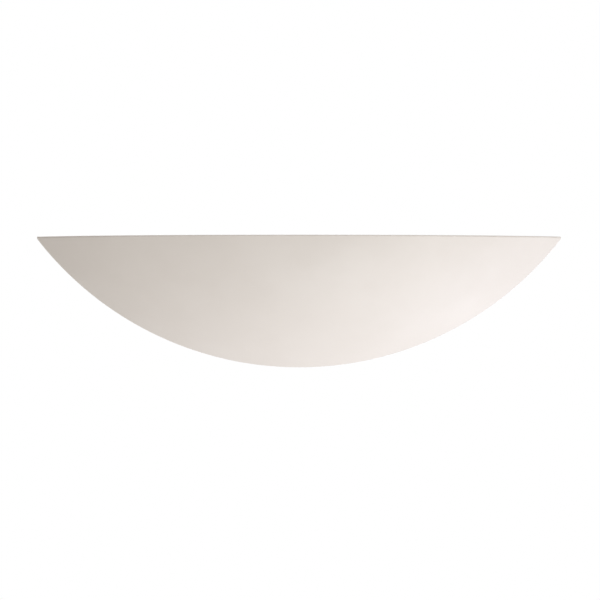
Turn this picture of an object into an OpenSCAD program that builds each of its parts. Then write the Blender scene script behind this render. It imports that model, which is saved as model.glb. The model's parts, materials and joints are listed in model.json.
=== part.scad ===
// Crescent wall uplighter.
// A cast plaster shade hangs on a steel wall plate and hides one linear halogen lamp.
// +X is right, +Y goes into the wall and +Z is up. The wall's face is y = 0, and the origin
// is midway between the two wall-fixing slots. "Depth" is the distance in front of the wall.

/* [Shade] */
// Width between the two tips
shade_w = 500; // [440:5:640]
// Height from the rim down to the lowest point
shade_h = 125; // [118:1:160]
// Height of the blunt end at each tip
tip_h = 2.5; // [1:0.5:6]
// How far the middle of the rim stands out from the wall
shade_depth = 110; // [104:1:150]
// Radius of the bulge, in a section through the middle
bulge_r = 245; // [215:5:400]
// Thickness of the plaster
shade_wall = 9; // [6:0.5:11]
// Height of the rim above the wall-fixing line
rim_above = 38; // [36:1:46]
// Width of the solid plaster block behind each tip, as far as the hanger plate's end
boss_w = 46; // [40:1:60]
// Depth of that block
boss_depth = 26; // [22:1:32]
// Plaster left outside the hanger plate
boss_margin = 12; // [8:1:14]

/* [Hanging] */
// Height of the hanging studs above the wall-fixing line
hang_z = 18; // [16:0.5:20]
// Distance from each stud to the plaster block beside it
hang_gap = 15; // [12:1:20]
// Thread diameter of the hanging studs
stud_d = 5; // [4:0.5:6]
// Thickness of the hanger plates
hanger_t = 2; // [1.5:0.1:3]
// Height of the hanger plates
hanger_h = 22; // [20:1:26]
// Lift that frees the shade from its studs
lift = 13; // [11:0.5:15]
// Diameter of the knurled thumb nuts
thumb_nut_d = 16; // [14:1:20]
// Length of the knurled part
thumb_nut_len = 6; // [5:0.5:8]
// How far two turns move a nut along its stud
nut_travel = 1.6; // [1:0.1:2]

/* [Wall plate] */
// Sheet thickness of the wall plate
plate_t = 1.5; // [1.2:0.1:2.5]
// Top edge of the wall plate above the fixing line
plate_top = 28; // [26:1:30]
// Lower edge of the long bar below the fixing line
bar_low = 18; // [14:1:20]
// Half width of the wiring tongue
tongue_half = 78; // [74:1:84]
// Lower edge of the wiring tongue below the fixing line
tongue_low = 46; // [44:1:47]
// Depth of the stiffening flange along the top edge
stiffener = 5; // [3:0.5:8]
// Distance between the two wall-fixing slots
fixing_span = 200; // [190:1:210]
// Width of a wall-fixing slot
fixing_w = 5.2; // [4.5:0.1:6.5]
// Length of a wall-fixing slot, end to end
fixing_len = 12; // [8:0.5:16]
// Bore of the cable grommet
cable_d = 11; // [8:0.5:13]
// Hole for the grommet in the wall plate
cable_hole_d = 20; // [18:0.5:22]
// Drop of the cable hole below the fixing line
cable_z = 27; // [26:0.5:30]

/* [Lamp] */
// Length of the lamp over its ceramic ends
lamp_len = 117.6; // [100:0.2:145]
// Outer diameter of the quartz tube
tube_d = 10; // [8:0.5:12]
// Diameter of the ceramic ends
base_d = 8; // [7:0.2:9]
// Length of a ceramic end
base_len = 13; // [11:0.5:15]
// Depth of the lamp's axis in front of the wall
lamp_depth = 38; // [36:0.5:42]
// Height of the lamp's axis above the fixing line
lamp_z = 12; // [11:0.5:14]
// Travel of the lamp against the sprung contact
lamp_travel = 3; // [2:0.1:3.5]

/* [Lampholders] */
// Length of a holder along the lamp
holder_len = 20; // [18:0.5:24]
// Width of a holder
holder_w = 26; // [24:0.5:28]
// Height of a holder
holder_h = 20; // [18:0.5:24]
// Overlap of a holder with the lamp's end
holder_grip = 2.5; // [1.5:0.1:3]
// Diameter of the contact pin
pin_d = 3; // [2.5:0.1:3.4]
// Wire diameter of the contact spring
spring_wire = 0.6; // [0.4:0.05:0.8]
// Turns of the contact spring
spring_turns = 5; // [4:0.5:6]

/* [Lamp tray] */
// Sheet thickness of the tray and its bracket
tray_t = 1.2; // [1:0.1:1.6]
// Focal length of the parabolic reflector
focus = 16; // [14:0.5:18]
// Half width of the reflector
reflector_half = 21; // [18:0.5:23]
// Sheet thickness of the reflector
reflector_t = 0.6; // [0.4:0.1:1]
// Gap between the reflector's ends and the holders
reflector_gap = 5; // [3:0.5:8]
// Half width of the bracket that carries the tray
bracket_half = 34; // [32:1:38]

/* [Wiring] */
// Distance between two ways of the terminal block
way_pitch = 10; // [9.5:0.5:12]
// Length of the terminal block along the wires
block_len = 18; // [16:0.5:22]
// Depth of the terminal block
block_depth = 14; // [13:0.5:16]
// Middle of the terminal block, right of the cable hole
block_x = 46; // [44:1:50]
// Middle of the terminal block, below the fixing line
block_z = 31; // [30:0.5:33]
// Outer diameter of the sleeved leads
lead_d = 2.6; // [2:0.1:3]
// Earth stud, left of the cable hole
earth_x = 44; // [38:1:52]

/* [Hidden] */
$fn = 96;
over = 1;            // how far a cut runs past the face it opens
fit = 0.05;          // radial clearance of what is pressed or screwed together
slack = 0.1;         // gap between pieces that move past each other
m3 = 3;
m4 = 4;
stud_head_t = 0.8;   // thickness of a clinch stud's flush head

// The shade is a slice of a spun dish whose axis runs into the wall above the rim.
edge_drop = shade_h - tip_h;                   // from a tip's lower corner down to the lowest point
wall_r = (pow(shade_w / 2, 2) + pow(edge_drop, 2)) / (2 * edge_drop);
rim_r = wall_r - shade_h;
axis_z = rim_above + rim_r;
chord = [wall_r - rim_r, -shade_depth];
arc_mid = [(wall_r + rim_r) / 2, shade_depth / 2];
arc_in = [chord[1], -chord[0]] / norm(chord);
arc_c = arc_mid + arc_in * sqrt(pow(bulge_r, 2) - pow(norm(chord) / 2, 2));
inner_r = bulge_r - shade_wall;

cavity_r = arc_c[0] + sqrt(pow(inner_r, 2) - pow(arc_c[1], 2));

// Half width of the cavity at the wall, at height z
function cavity_half(z) = sqrt(pow(cavity_r, 2) - pow(axis_z - z, 2));

hook_w = stud_d + 4 * slack;
hook_depth = lift - stud_d / 2 - 0.5;          // from the stud's axis down to the slot's mouth
hanger_low = hang_z - hook_depth;
hanger_out = floor(cavity_half(hanger_low) - boss_margin);
boss_in = hanger_out - boss_w;
stud_x = boss_in - hang_gap;
hanger_in = stud_x - hanger_h / 2;
hanger_y = plate_t + slack;                    // depth of the hanger plate's back
hanger_front = hanger_y + hanger_t;
bar_half = boss_in - 2;
hanger_screws_x = [hanger_out - 8, hanger_out - boss_w + 20];
hanger_screw_z = hanger_low + hanger_h / 2;
insert_d = 7;
insert_len = 12;
insert_end = hanger_front + insert_len;

washer_t = 1;
washer_y = hanger_front + slack;
nut_y = washer_y + washer_t + slack;
nut_collar = 1.5;
nut_out = nut_y + nut_collar + thumb_nut_len;
stud_len = nut_out + nut_travel + 4;

// Along the lamp, from the middle outwards
lamp_end = lamp_len / 2;
socket_depth = 2.4;                            // how deep the contact sits in the lamp's end
contact_x = lamp_end - socket_depth;
holder_x = lamp_end - holder_grip;
recess_floor = lamp_end + lamp_travel + 0.3;
web = 3;                                       // ceramic between the recess and the spring
chamber_x = recess_floor + web;
holder_end = holder_x + holder_len;
insulator_t = 0.8;
ear_x = holder_end + insulator_t;
tray_half = ear_x + tray_t;
preload = lamp_travel + 0.2;                   // how far the lamp pushes each pin back
collar_x = chamber_x + preload;
collar_t = 1.2;
chamber_d = 5.9;
screw_edge = 3.8;                              // from a holder's sides to its screws
lead_bore_x = holder_end - 2.6;
lead_plug = 4.5;                               // how far the sleeve goes into the holder

// Heights of the sheet-metal stack under the lamp
base_top = lamp_z - focus - reflector_t;
base_low = base_top - tray_t;
shelf_low = base_low - tray_t;
holder_back = lamp_depth - holder_w / 2;
shelf_front = lamp_depth + holder_w / 2 - 4;
bracket_h = 22;
bracket_top = shelf_low + bracket_h;
bracket_hole_z = bracket_top - 8;
bracket_hole_x = 16;
web_x = 27;
rivet_d = 3.2;
tray_rivet_at = [16, holder_w / 2 - 2.8];
reflector_rivet_x = 36;

block_w = 3 * way_pitch + 2;
block_low = -block_z - block_len / 2;
block_top = -block_z + block_len / 2;
block_base = 5;
block_out = plate_t + block_depth;
clamp_d = 5;
clamp_bore = 3.4;
clamp_depth = plate_t + 7;                     // depth of the clamps' axes
clamp_screw = 2.6;
mount_screw = 2.5;
mount_head = 4;
earth_z = -28;
ring_y = plate_t + 0.8;
ring_t = 0.8;
ring_turn = 40;                                // lean of the ring's barrel towards the block
barrel_depth = ring_y + 1.9;
barrel = [6, 12];                              // where the barrel starts and ends, from the stud
lead_r = lead_d / 2;
core_d = 1.1;

// ---- Placing ----

// Draws children in the plane of the wall and makes them t thick, starting at a depth
module sheet(depth, t) {
    translate([0, -depth, 0]) rotate([90, 0, 0]) linear_extrude(t) children();
}

// Draws children across the lamp, with 2D x as depth behind the lamp, and runs them along X
module along_x(x, len) {
    translate([x, -lamp_depth, lamp_z]) rotate([90, 0, 90]) linear_extrude(len) children();
}

// A rod along X, on the lamp's axis
module rod_x(x, len, d) {
    translate([x, -lamp_depth, lamp_z]) rotate([0, 90, 0]) cylinder(h = len, d = d);
}

// A rod that points out of the wall, from one depth to another
module rod_out(x, z, from, to, d) {
    translate([x, -from, z]) rotate([90, 0, 0]) cylinder(h = to - from, d = d);
}

module on_side(s) {
    if (s < 0) mirror([1, 0, 0]) children();
    else children();
}

module both_sides() {
    for (s = [-1, 1]) on_side(s) children();
}

// ---- 2D shapes ----

module rounded_rect(w, h, r) {
    square([w - 2 * r, h], center = true);
    square([w, h - 2 * r], center = true);
    for (x = [-1, 1], y = [-1, 1]) translate([x * (w / 2 - r), y * (h / 2 - r)]) circle(r);
}

module slot(len, w) {
    square([len - w, w], center = true);
    for (x = [-1, 1]) translate([x * (len - w) / 2, 0]) circle(d = w);
}

// A toothed disc: knurls on a nut, or the teeth of a lock washer
module toothed(r, teeth, depth) {
    polygon([for (i = [0 : 2 * teeth - 1])
        (r - (i % 2) * depth) * [cos(180 * i / teeth), sin(180 * i / teeth)]]);
}

// ---- Fasteners: the shank points down from z = 0 and the head stands above it ----

module cross_recess(w, depth) {
    for (a = [0, 90]) rotate(a) translate([0, 0, -depth / 2])
        cube([w, w * 0.22, depth + over], center = true);
}

module pan_screw(d, len) {
    difference() {
        union() {
            translate([0, 0, -len]) cylinder(h = len, d = d);
            cylinder(h = d * 0.3, d = d * 1.9);
            translate([0, 0, d * 0.3]) cylinder(h = d * 0.3, d1 = d * 1.9, d2 = d * 1.3);
        }
        translate([0, 0, d * 0.6]) cross_recess(d * 1.05, d * 0.35);
    }
}

module countersunk_screw(d, len, head_d) {
    difference() {
        union() {
            translate([0, 0, -len]) cylinder(h = len, d = d);
            translate([0, 0, -(head_d - d) / 2]) cylinder(h = (head_d - d) / 2, d1 = d, d2 = head_d);
        }
        cross_recess(head_d * 0.55, d * 0.3);
    }
}

module slotted_screw(d, len, head_d, head_h) {
    difference() {
        union() {
            translate([0, 0, -len]) cylinder(h = len, d = d);
            cylinder(h = head_h, d = head_d);
        }
        translate([0, 0, head_h]) cube([head_d + over, head_d * 0.2, head_h], center = true);
    }
}

module hex_nut(d, across, h) {
    difference() {
        cylinder(h = h, d = across / cos(30), $fn = 6);
        translate([0, 0, -over]) cylinder(h = h + 2 * over, d = d + 2 * fit);
    }
}

// A blind rivet through a stack: head above z = 0, formed tail below -grip
module blind_rivet(grip) {
    cylinder(h = 0.7, d1 = rivet_d * 1.6, d2 = rivet_d * 1.2);
    translate([0, 0, -grip]) cylinder(h = grip, d = rivet_d);
    translate([0, 0, -grip - 1.6]) cylinder(h = 1.6, d1 = rivet_d * 1.1, d2 = rivet_d * 1.4);
}

// ---- Swept wires ----

function unit(v) = v / norm(v);
function spline(a, b, c, d, t) =
    b + 0.5 * ((c - a) * t + (2 * a - 5 * b + 4 * c - d) * t * t + (3 * b - a - 3 * c + d) * t * t * t);
// The first and last stretches stay straight, so that the ends are cut square
function smooth(p, n) = let (last = len(p) - 1) [
    p[0],
    for (i = [1 : last - 2], k = [0 : n - 1]) spline(p[i - 1], p[i], p[i + 1], p[i + 2], k / n),
    p[last - 1], p[last]
];
function tangent(p, i) = unit(p[min(i + 1, len(p) - 1)] - p[max(i - 1, 0)]);
function carried(n, t) = unit(n - (n * t) * t);
function normals(p, n, i = 0) =
    let (here = carried(n, tangent(p, i)))
    i == len(p) - 1 ? [here] : concat([here], normals(p, here, i + 1));

module sweep(p, r, sides, first_normal) {
    n = normals(p, first_normal);
    count = len(p);
    rings = [for (i = [0 : count - 1], k = [0 : sides - 1])
        let (b = cross(tangent(p, i), n[i]), a = 360 * k / sides)
        p[i] + r * (cos(a) * n[i] + sin(a) * b)];
    walls = [for (i = [0 : count - 2], k = [0 : sides - 1], half = [0, 1])
        let (a = i * sides + k, b = i * sides + (k + 1) % sides)
        half == 0 ? [a, a + sides, b + sides] : [a, b + sides, b]];
    ends = [for (k = [1 : sides - 2], e = [0, 1])
        e == 0 ? [0, k, k + 1]
               : [(count - 1) * sides, (count - 1) * sides + k + 1, (count - 1) * sides + k]];
    polyhedron(concat(rings), concat(walls, ends));
}

// ---- Shade ----

// The dish's skin: an arc spun about the dish's axis. Its back lies at minus the given depth.
module dish(r, back) {
    translate([0, 0, axis_z]) rotate([90, 0, 0]) rotate_extrude() intersection() {
        translate(arc_c) circle(r);
        translate([rim_r - over, -back]) square([wall_r, shade_depth + back + over]);
    }
}

module shade() {
    color("ghostwhite") difference() {
        intersection() {
            dish(bulge_r, 0);
            translate([-shade_w / 2, -2 * shade_depth, rim_above - 2 * shade_h])
                cube([shade_w, 2 * shade_depth, 2 * shade_h]);
        }
        intersection() {
            dish(inner_r, over);
            translate([0, 0, rim_above - 2 * shade_h])
                linear_extrude(2 * shade_h + over) shade_cavity_plan();
        }
        both_sides() {
            hanger_pocket();
            for (x = hanger_screws_x)
                rod_out(x, hanger_screw_z, hanger_y, insert_end + fit, insert_d + 2 * fit);
        }
    }
}

// Seen from above: the whole inside, less the two solid blocks behind the tips
module shade_cavity_plan() {
    translate([-boss_in, -shade_depth]) square([2 * boss_in, shade_depth + over]);
    translate([-shade_w / 2, -shade_depth]) square([shade_w, shade_depth - boss_depth]);
}

module hanger_pocket() {
    sheet(-over, hanger_front + over) translate([boss_in - over, hanger_low - over])
        square([boss_w + 2 * over, hanger_h + 2 * over]);
}

module hanger_inserts() {
    color("goldenrod") both_sides() for (x = hanger_screws_x)
        difference() {
            rod_out(x, hanger_screw_z, hanger_front, insert_end, insert_d);
            rod_out(x, hanger_screw_z, hanger_front - over, insert_end - 1, m4 + 2 * fit);
        }
}

module hanger_plate() {
    mid = (hanger_in + hanger_out) / 2;
    color("silver") difference() {
        sheet(hanger_y, hanger_t) difference() {
            translate([mid, hanger_screw_z]) rounded_rect(hanger_out - hanger_in, hanger_h, 3);
            translate([stud_x, hang_z]) circle(d = hook_w);
            translate([stud_x - hook_w / 2, hanger_low - over]) square([hook_w, hook_depth + over]);
        }
        for (x = hanger_screws_x) {
            rod_out(x, hanger_screw_z, 0, hanger_front + over, m4 + 0.4);
            translate([x, -hanger_y, hanger_screw_z]) rotate([90, 0, 0])
                cylinder(h = 1.6, d1 = m4 + 3.6, d2 = m4 + 0.4);
        }
    }
}

module hanger_screws() {
    color("silver") both_sides() for (x = hanger_screws_x)
        translate([x, -hanger_y - fit, hanger_screw_z]) rotate([-90, 0, 0])
            countersunk_screw(m4, hanger_t + insert_len - 2.5, m4 + 3);
}

// ---- Wall plate ----

module wall_plate() {
    color("whitesmoke") difference() {
        union() {
            sheet(0, plate_t) {
                translate([0, (plate_top - bar_low) / 2])
                    rounded_rect(2 * bar_half, plate_top + bar_low, 4);
                translate([0, -tongue_low / 2]) rounded_rect(2 * tongue_half, tongue_low, 6);
            }
            sheet(0, plate_t + stiffener) translate([-hanger_in + 6, plate_top - plate_t])
                square([2 * (hanger_in - 6), plate_t]);
        }
        sheet(-over, plate_t + 2 * over) {
            for (s = [-1, 1]) {
                translate([s * fixing_span / 2, 0]) slot(fixing_len, fixing_w);
                translate([s * stud_x, hang_z]) circle(d = stud_d + 2 * fit);
                translate([s * bracket_hole_x, bracket_hole_z]) circle(d = m4 + 2 * fit);
                translate([block_x + s * way_pitch / 2, -block_z]) circle(d = mount_screw + 2 * fit);
            }
            translate([0, -cable_z]) circle(d = cable_hole_d);
            translate([-earth_x, earth_z]) circle(d = m4 + 2 * fit);
        }
        both_sides() rod_out(stud_x, hang_z, -over, stud_head_t + fit, stud_d + 2 + 2 * fit);
        rod_out(-earth_x, earth_z, -over, stud_head_t + fit, m4 + 2 + 2 * fit);
    }
}

// A stud pressed in from behind: a flush head and a threaded shank
module clinch_stud(x, z, d, len) {
    chamfer = 0.6;
    rod_out(x, z, 0, stud_head_t, d + 2);
    rod_out(x, z, 0, len - chamfer, d);
    translate([x, chamfer - len, z]) rotate([90, 0, 0]) cylinder(h = chamfer, d1 = d, d2 = d - 2 * chamfer);
}

module hang_stud() {
    color("silver") clinch_stud(stud_x, hang_z, stud_d, stud_len);
}

module clamp_washer() {
    color("silver") difference() {
        rod_out(stud_x, hang_z, washer_y, washer_y + washer_t, thumb_nut_d - 2);
        rod_out(stud_x, hang_z, washer_y - over, washer_y + washer_t + over, stud_d + 2 * slack);
    }
}

module thumb_nut() {
    color("goldenrod") difference() {
        union() {
            rod_out(stud_x, hang_z, nut_y, nut_y + nut_collar, thumb_nut_d * 0.65);
            translate([stud_x, 0, hang_z]) sheet(nut_y + nut_collar, thumb_nut_len)
                toothed(thumb_nut_d / 2, 30, 0.5);
        }
        rod_out(stud_x, hang_z, nut_y - over, nut_out + over, stud_d + 2 * fit);
    }
}

module cable_grommet() {
    neck = cable_hole_d / 2 - fit;
    brim = cable_hole_d / 2 + 3;
    len = plate_t + 3;
    color("dimgray") translate([0, 0, -cable_z]) rotate([90, 0, 0]) rotate_extrude() difference() {
        union() {
            square([neck, len]);
            translate([0, plate_t]) square([brim, 2]);
        }
        translate([-over, -over]) square([cable_d / 2 + over, len + 2 * over]);
        translate([brim, plate_t + 2]) circle(0.8);
    }
}

// ---- Bracket, tray and reflector ----

module support_bracket() {
    gusset_end = lamp_depth - reflector_half - 2;
    color("whitesmoke") difference() {
        union() {
            sheet(plate_t, tray_t) translate([0, (shelf_low + bracket_top) / 2])
                rounded_rect(2 * bracket_half, bracket_top - shelf_low, 3);
            translate([-web_x, -shelf_front, shelf_low])
                cube([2 * web_x, shelf_front - plate_t, tray_t]);
            both_sides() translate([web_x - tray_t, 0, 0]) rotate([90, 0, 90]) linear_extrude(tray_t)
                polygon([[-plate_t, shelf_low], [-plate_t, bracket_top - 2],
                         [-plate_t - 3, bracket_top - 2],
                         [-gusset_end, shelf_low + 3], [-gusset_end, shelf_low]]);
        }
        for (s = [-1, 1])
            rod_out(s * bracket_hole_x, bracket_hole_z, 0, plate_t + tray_t + over, m4 + 0.4);
        at_tray_rivets() rivet_hole(shelf_low);
    }
}

module support_screws() {
    color("silver") for (s = [-1, 1])
        translate([s * bracket_hole_x, -plate_t - tray_t, bracket_hole_z]) rotate([90, 0, 0])
            pan_screw(m4, plate_t + tray_t - 0.3);
}

module at_tray_rivets() {
    for (x = [-1, 1], y = [-1, 1])
        translate([x * tray_rivet_at[0], y * tray_rivet_at[1] - lamp_depth, 0]) children();
}

module at_reflector_rivets() {
    for (x = [-1, 1]) translate([x * reflector_rivet_x, -lamp_depth, 0]) children();
}

module rivet_hole(z) {
    translate([0, 0, z - over]) cylinder(h = tray_t + 2 * over, d = rivet_d + 2 * fit);
}

module lamp_tray() {
    ear_h = holder_h / 2 + 1 + lamp_z - base_low;
    color("whitesmoke") difference() {
        union() {
            translate([-tray_half, -lamp_depth - holder_w / 2, base_low])
                cube([2 * tray_half, holder_w, tray_t]);
            both_sides() along_x(ear_x, tray_t) {
                translate([0, base_low - lamp_z + ear_h / 2]) rounded_rect(holder_w, ear_h, 3);
                translate([-holder_w / 2, base_low - lamp_z]) square([holder_w, 6]);
            }
        }
        both_sides() at_holder_screws() rod_x(ear_x - over, tray_t + 2 * over, m3 + 0.3);
        at_tray_rivets() rivet_hole(base_low);
        at_reflector_rivets() rivet_hole(base_low);
    }
}

module tray_rivets() {
    color("silver") at_tray_rivets() translate([0, 0, base_top]) blind_rivet(2 * tray_t);
}

function parabola(y) = y * y / (4 * focus) - focus;

module reflector() {
    steps = 22;
    half = holder_x - reflector_gap;
    wide = reflector_half + reflector_t;
    lip_top = parabola(reflector_half) + 2.5;
    lip_foot = parabola(reflector_half) - reflector_t / 2;
    inner = [for (i = [0 : steps]) let (y = reflector_half * (2 * i / steps - 1)) [y, parabola(y)]];
    outer = [for (i = [steps - 1 : -1 : 1])
        inner[i] + reflector_t * unit([inner[i][0] / (2 * focus), -1])];
    color("gainsboro") difference() {
        along_x(-half, 2 * half) polygon(concat(
            [[-reflector_half, lip_top]], inner, [[reflector_half, lip_top]],
            [[wide, lip_top], [wide, lip_foot]], outer, [[-wide, lip_foot], [-wide, lip_top]]));
        at_reflector_rivets() rivet_hole(base_top);
    }
}

// Their heads stand on the curved sheet, just above its lowest line
module reflector_rivets() {
    seat = parabola(rivet_d * 0.8) + focus + fit;
    color("silver") at_reflector_rivets() translate([0, 0, base_top + reflector_t + seat])
        blind_rivet(tray_t + reflector_t + seat);
}

// ---- Lampholders and contacts ----

module at_holder_screws() {
    for (s = [-1, 1])
        translate([0, s * (holder_w / 2 - screw_edge), s * (holder_h / 2 - screw_edge)]) children();
}

module lampholder() {
    color("linen") difference() {
        along_x(holder_x, holder_len) rounded_rect(holder_w, holder_h, 2.5);
        rod_x(holder_x - over, recess_floor - holder_x + over, base_d + 1.2);
        rod_x(recess_floor - over, web + 2 * over, pin_d + 2 * slack);
        rod_x(chamber_x, holder_end - chamber_x + over, chamber_d);
        at_holder_screws() rod_x(holder_x - over, holder_len + 2 * over, m3 + 0.3);
        translate([lead_bore_x, -holder_back + over, lamp_z]) rotate([90, 0, 0])
            cylinder(h = holder_w / 2 + over, d = lead_d + 0.3);
    }
}

module holder_insulators() {
    color("tan") both_sides() difference() {
        along_x(holder_end, insulator_t) rounded_rect(holder_w, holder_h, 2.5);
        at_holder_screws() rod_x(holder_end - over, insulator_t + 2 * over, m3 + 0.3);
    }
}

module holder_screws() {
    color("silver") both_sides() at_holder_screws()
        translate([holder_x, -lamp_depth, lamp_z]) rotate([0, -90, 0])
            pan_screw(m3, holder_len + insulator_t + tray_t + 3);
}

module holder_nuts() {
    color("silver") both_sides() at_holder_screws()
        translate([tray_half, -lamp_depth, lamp_z]) rotate([0, 90, 0]) hex_nut(m3, 5.5, 2.4);
}

// The pin, its retaining collar and the tail that guides the spring
module contact() {
    tip = contact_x + fit;
    color("khaki") {
        rod_x(tip + pin_d / 2, collar_x - tip - pin_d / 2, pin_d);
        translate([tip + pin_d / 2, -lamp_depth, lamp_z]) sphere(d = pin_d);
        rod_x(collar_x, collar_t, chamber_d - 0.4);
        rod_x(collar_x, collar_t + 3, 2.4);
    }
}

module contact_spring() {
    start = collar_x + collar_t + spring_wire / 2 + fit;
    end = holder_end - spring_wire / 2 - fit;
    mean_r = (chamber_d - 0.8 - spring_wire) / 2;
    steps = spring_turns * 8;
    route = [for (i = [0 : steps])
        [start + (end - start) * i / steps,
         -lamp_depth + mean_r * cos(45 * i), lamp_z + mean_r * sin(45 * i)]];
    color("darkgray") sweep(route, spring_wire / 2, 6, [1, 0, 0]);
}

// ---- Lamp ----

tube_end = lamp_end - base_len - 4.5;         // where the tube starts to narrow
pinch_x = lamp_end - base_len - 1;
pinch_len = base_len - 4.5;
pinch_w = 5.6;
pinch_t = 2.6;
wire_d = 0.9;

module lamp_envelope() {
    bore = tube_d - 2;
    color("lightcyan") difference() {
        union() {
            rod_x(-tube_end, 2 * tube_end, tube_d);
            both_sides() {
                translate([tube_end, -lamp_depth, lamp_z]) rotate([0, 90, 0])
                    cylinder(h = pinch_x - tube_end, d1 = tube_d, d2 = pinch_t + 0.6);
                along_x(pinch_x - 1.5, pinch_len + 1.5) square([pinch_w, pinch_t], center = true);
            }
            translate([0, -lamp_depth, lamp_z + tube_d / 2 - 0.5]) cylinder(h = 2, d1 = 2.4, d2 = 1.2);
        }
        rod_x(-tube_end, 2 * tube_end, bore);
        both_sides() {
            translate([tube_end, -lamp_depth, lamp_z]) rotate([0, 90, 0])
                cylinder(h = (pinch_x - tube_end) * 0.6, d1 = bore, d2 = wire_d + 2 * fit);
            rod_x(tube_end, pinch_x + pinch_len - tube_end + over, wire_d + 2 * fit);
        }
    }
}

module lamp_base() {
    button = contact_x - 1;
    color("linen") difference() {
        rod_x(lamp_end - base_len, base_len, base_d);
        rod_x(button, lamp_end - button + over, pin_d + 0.9);
        along_x(lamp_end - base_len - over, pinch_x + pinch_len - lamp_end + base_len + over + fit)
            square([pinch_w + 2 * fit, pinch_t + 2 * fit], center = true);
        rod_x(lamp_end - base_len, base_len, wire_d + 2 * fit);
    }
}

module lamp_end_contacts() {
    color("silver") both_sides() rod_x(contact_x - 1, 1, pin_d + 0.9 - 2 * fit);
}

module lamp_lead_wires() {
    start = tube_end - 2;
    color("gray") both_sides() rod_x(start, contact_x - 1 - start, wire_d);
}

// The coiled filament, as one slim rod between the lead wires
module lamp_filament() {
    half = tube_end - 2;
    color("dimgray") rod_x(-half, 2 * half, 1.1);
}

// Thin wire discs that hold the filament in the middle of the tube
module filament_supports() {
    gap = (tube_end - 2) / 2.5;
    color("dimgray") for (i = [-2 : 2]) difference() {
        rod_x(i * gap - 0.15, 0.3, tube_d - 2 - 4 * fit);
        rod_x(i * gap - over, 2 * over, tube_d - 3);
    }
}

// ---- Wiring ----

function way(i) = block_x + i * way_pitch;

// Across one way, at each of its two screws
module at_clamp_screws(i) {
    for (z = [-1, 1]) translate([way(i), 0, -block_z + z * block_len / 4]) children();
}

module terminal_block() {
    color("ivory") difference() {
        union() {
            sheet(plate_t, block_base) translate([block_x, -block_z]) rounded_rect(block_w, block_len, 1.5);
            for (i = [-1 : 1]) {
                sheet(plate_t, block_depth - 3) translate([way(i), -block_z])
                    rounded_rect(way_pitch - 1.6, block_len, 1.5);
                at_clamp_screws(i) rod_out(0, 0, plate_t, block_out, 7);
            }
        }
        for (i = [-1 : 1]) {
            translate([way(i), -clamp_depth, block_low - over])
                cylinder(h = block_len + 2 * over, d = clamp_d + 2 * fit);
            at_clamp_screws(i) rod_out(0, 0, clamp_depth, block_out + over, 4.4);
        }
        for (i = [-0.5, 0.5]) {
            rod_out(way(i), -block_z, 0, block_out + over, mount_screw + 0.3);
            rod_out(way(i), -block_z, plate_t + block_base, block_out + over, mount_head + 2 * slack);
        }
    }
}

module terminal_clamps() {
    color("goldenrod") for (i = [-1 : 1]) difference() {
        translate([way(i), -clamp_depth, block_low + 1]) cylinder(h = block_len - 2, d = clamp_d);
        translate([way(i), -clamp_depth, block_low]) cylinder(h = block_len, d = clamp_bore);
        at_clamp_screws(i) rod_out(0, 0, clamp_depth, clamp_depth + clamp_d, clamp_screw + 2 * fit);
    }
}

module terminal_screws() {
    tip = clamp_depth + core_d / 2 + fit;
    seat = clamp_depth + clamp_d / 2 + 0.8;
    color("silver") for (i = [-1 : 1]) at_clamp_screws(i)
        translate([0, -seat, 0]) rotate([90, 0, 0]) slotted_screw(clamp_screw, seat - tip, 3.8, 2);
}

module terminal_mount_screws() {
    color("silver") for (i = [-0.5, 0.5])
        translate([way(i), -plate_t - block_base, -block_z]) rotate([90, 0, 0])
            slotted_screw(mount_screw, plate_t + block_base - 0.2, mount_head, 1.2);
}

module earth_stud() {
    color("goldenrod") clinch_stud(-earth_x, earth_z, m4, plate_t + 9);
}

module earth_washer() {
    color("silver") difference() {
        translate([-earth_x, 0, earth_z]) sheet(plate_t, 0.8) toothed(4.4, 12, 0.7);
        rod_out(-earth_x, earth_z, 0, ring_y + over, m4 + 2 * fit);
    }
}

module earth_ring() {
    color("silver") translate([-earth_x, 0, earth_z]) rotate([0, ring_turn, 0]) difference() {
        union() {
            sheet(ring_y, ring_t) {
                circle(4);
                translate([-1.6, 0]) square([3.2, barrel[0] + 2]);
            }
            translate([0, -barrel_depth, barrel[0]])
                cylinder(h = barrel[1] - barrel[0], d = lead_d + 1.2);
        }
        rod_out(0, 0, 0, ring_y + ring_t + over, m4 + 2 * fit);
        translate([0, -barrel_depth, barrel[0] - over])
            cylinder(h = barrel[1] - barrel[0] + 2 * over, d = lead_d + 0.2);
    }
}

module earth_nut() {
    color("goldenrod") translate([-earth_x, -ring_y - ring_t, earth_z]) rotate([90, 0, 0])
        hex_nut(m4, 7, 3.2);
}

// Each lead starts straight out of its clamp and ends straight in its holder or ring.
lead_start = block_top + 0.5;
lead_run = shelf_low - 5;                     // height at which leads pass under the shelf

module lead(route) {
    sweep(smooth(route, 3), lead_r, 8, [0, 1, 0.01]);
}

module live_lead() {
    color("saddlebrown") lead([
        [way(1), -clamp_depth, lead_start],
        [way(1), -clamp_depth, lead_start + 6],
        [way(1) + 3, -clamp_depth - 1, shelf_low - 1],
        [lead_bore_x - 6, -clamp_depth - 1, base_low + 5],
        [lead_bore_x, -clamp_depth - 3, lamp_z - 3],
        [lead_bore_x, -holder_back + 3, lamp_z],
        [lead_bore_x, -holder_back - lead_plug, lamp_z]
    ]);
}

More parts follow.
